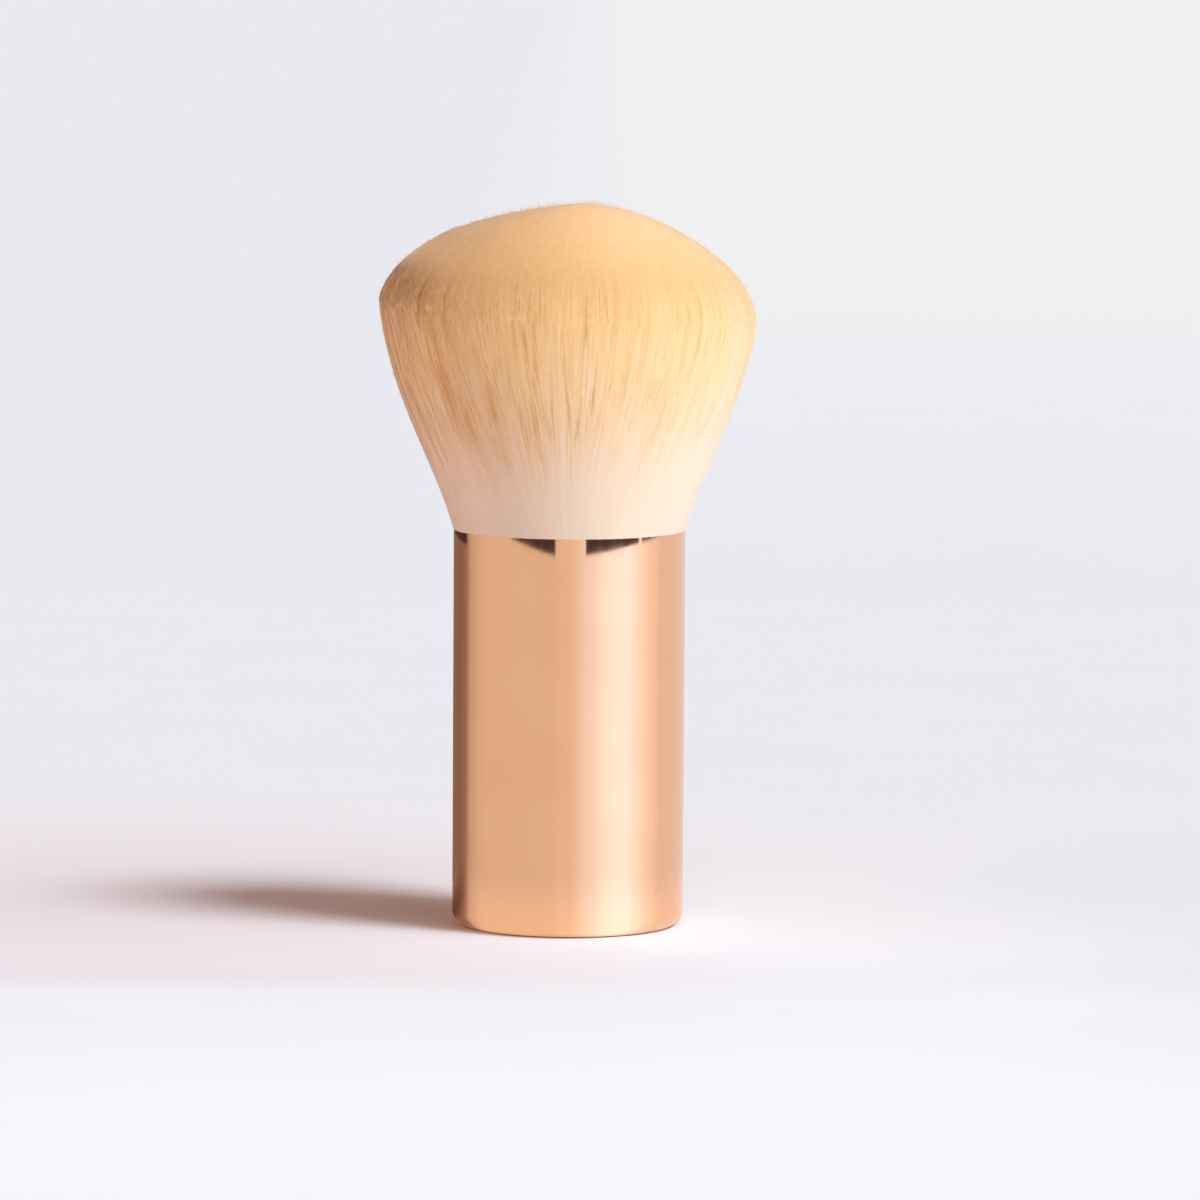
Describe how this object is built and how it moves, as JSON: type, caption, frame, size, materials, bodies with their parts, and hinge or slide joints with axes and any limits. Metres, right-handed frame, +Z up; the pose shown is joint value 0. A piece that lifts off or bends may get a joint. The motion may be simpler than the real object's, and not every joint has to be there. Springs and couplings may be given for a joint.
{
  "type": "buffing brush",
  "caption": "Kabuki-style buffing brush: a dense domed head of soft bristles in a short round metal handle that stands on its flat base.",
  "frame": {"origin": "centre of the flat base, on the surface that the brush stands on", "axes": "+Z up along the brush's axis, from the base to the bristle tips; the brush is round, so X and Y are free"},
  "size_m": [0.0488, 0.0488, 0.0945],
  "materials": {
    "rose_gold": "rose-gold plated, mirror polished",
    "core_plastic": "as moulded",
    "weight_steel": "turned, zinc plated",
    "raw_aluminium": "drawn, unpolished",
    "cured_resin": "cured resin",
    "thread": "waxed thread",
    "bristles": "soft synthetic filaments, cream at the root and golden tan at the tips"
  },
  "bodies": {
    "root": {"handle_shell": "rose_gold", "handle_core": "core_plastic", "base_weight": "weight_steel", "ferrule_cup": "raw_aluminium", "root_adhesive": "cured_resin", "binding_thread": "thread", "bristles_inner": "bristles", "bristles_middle": "bristles", "bristles_outer": "bristles"}
  },
  "joints": []
}
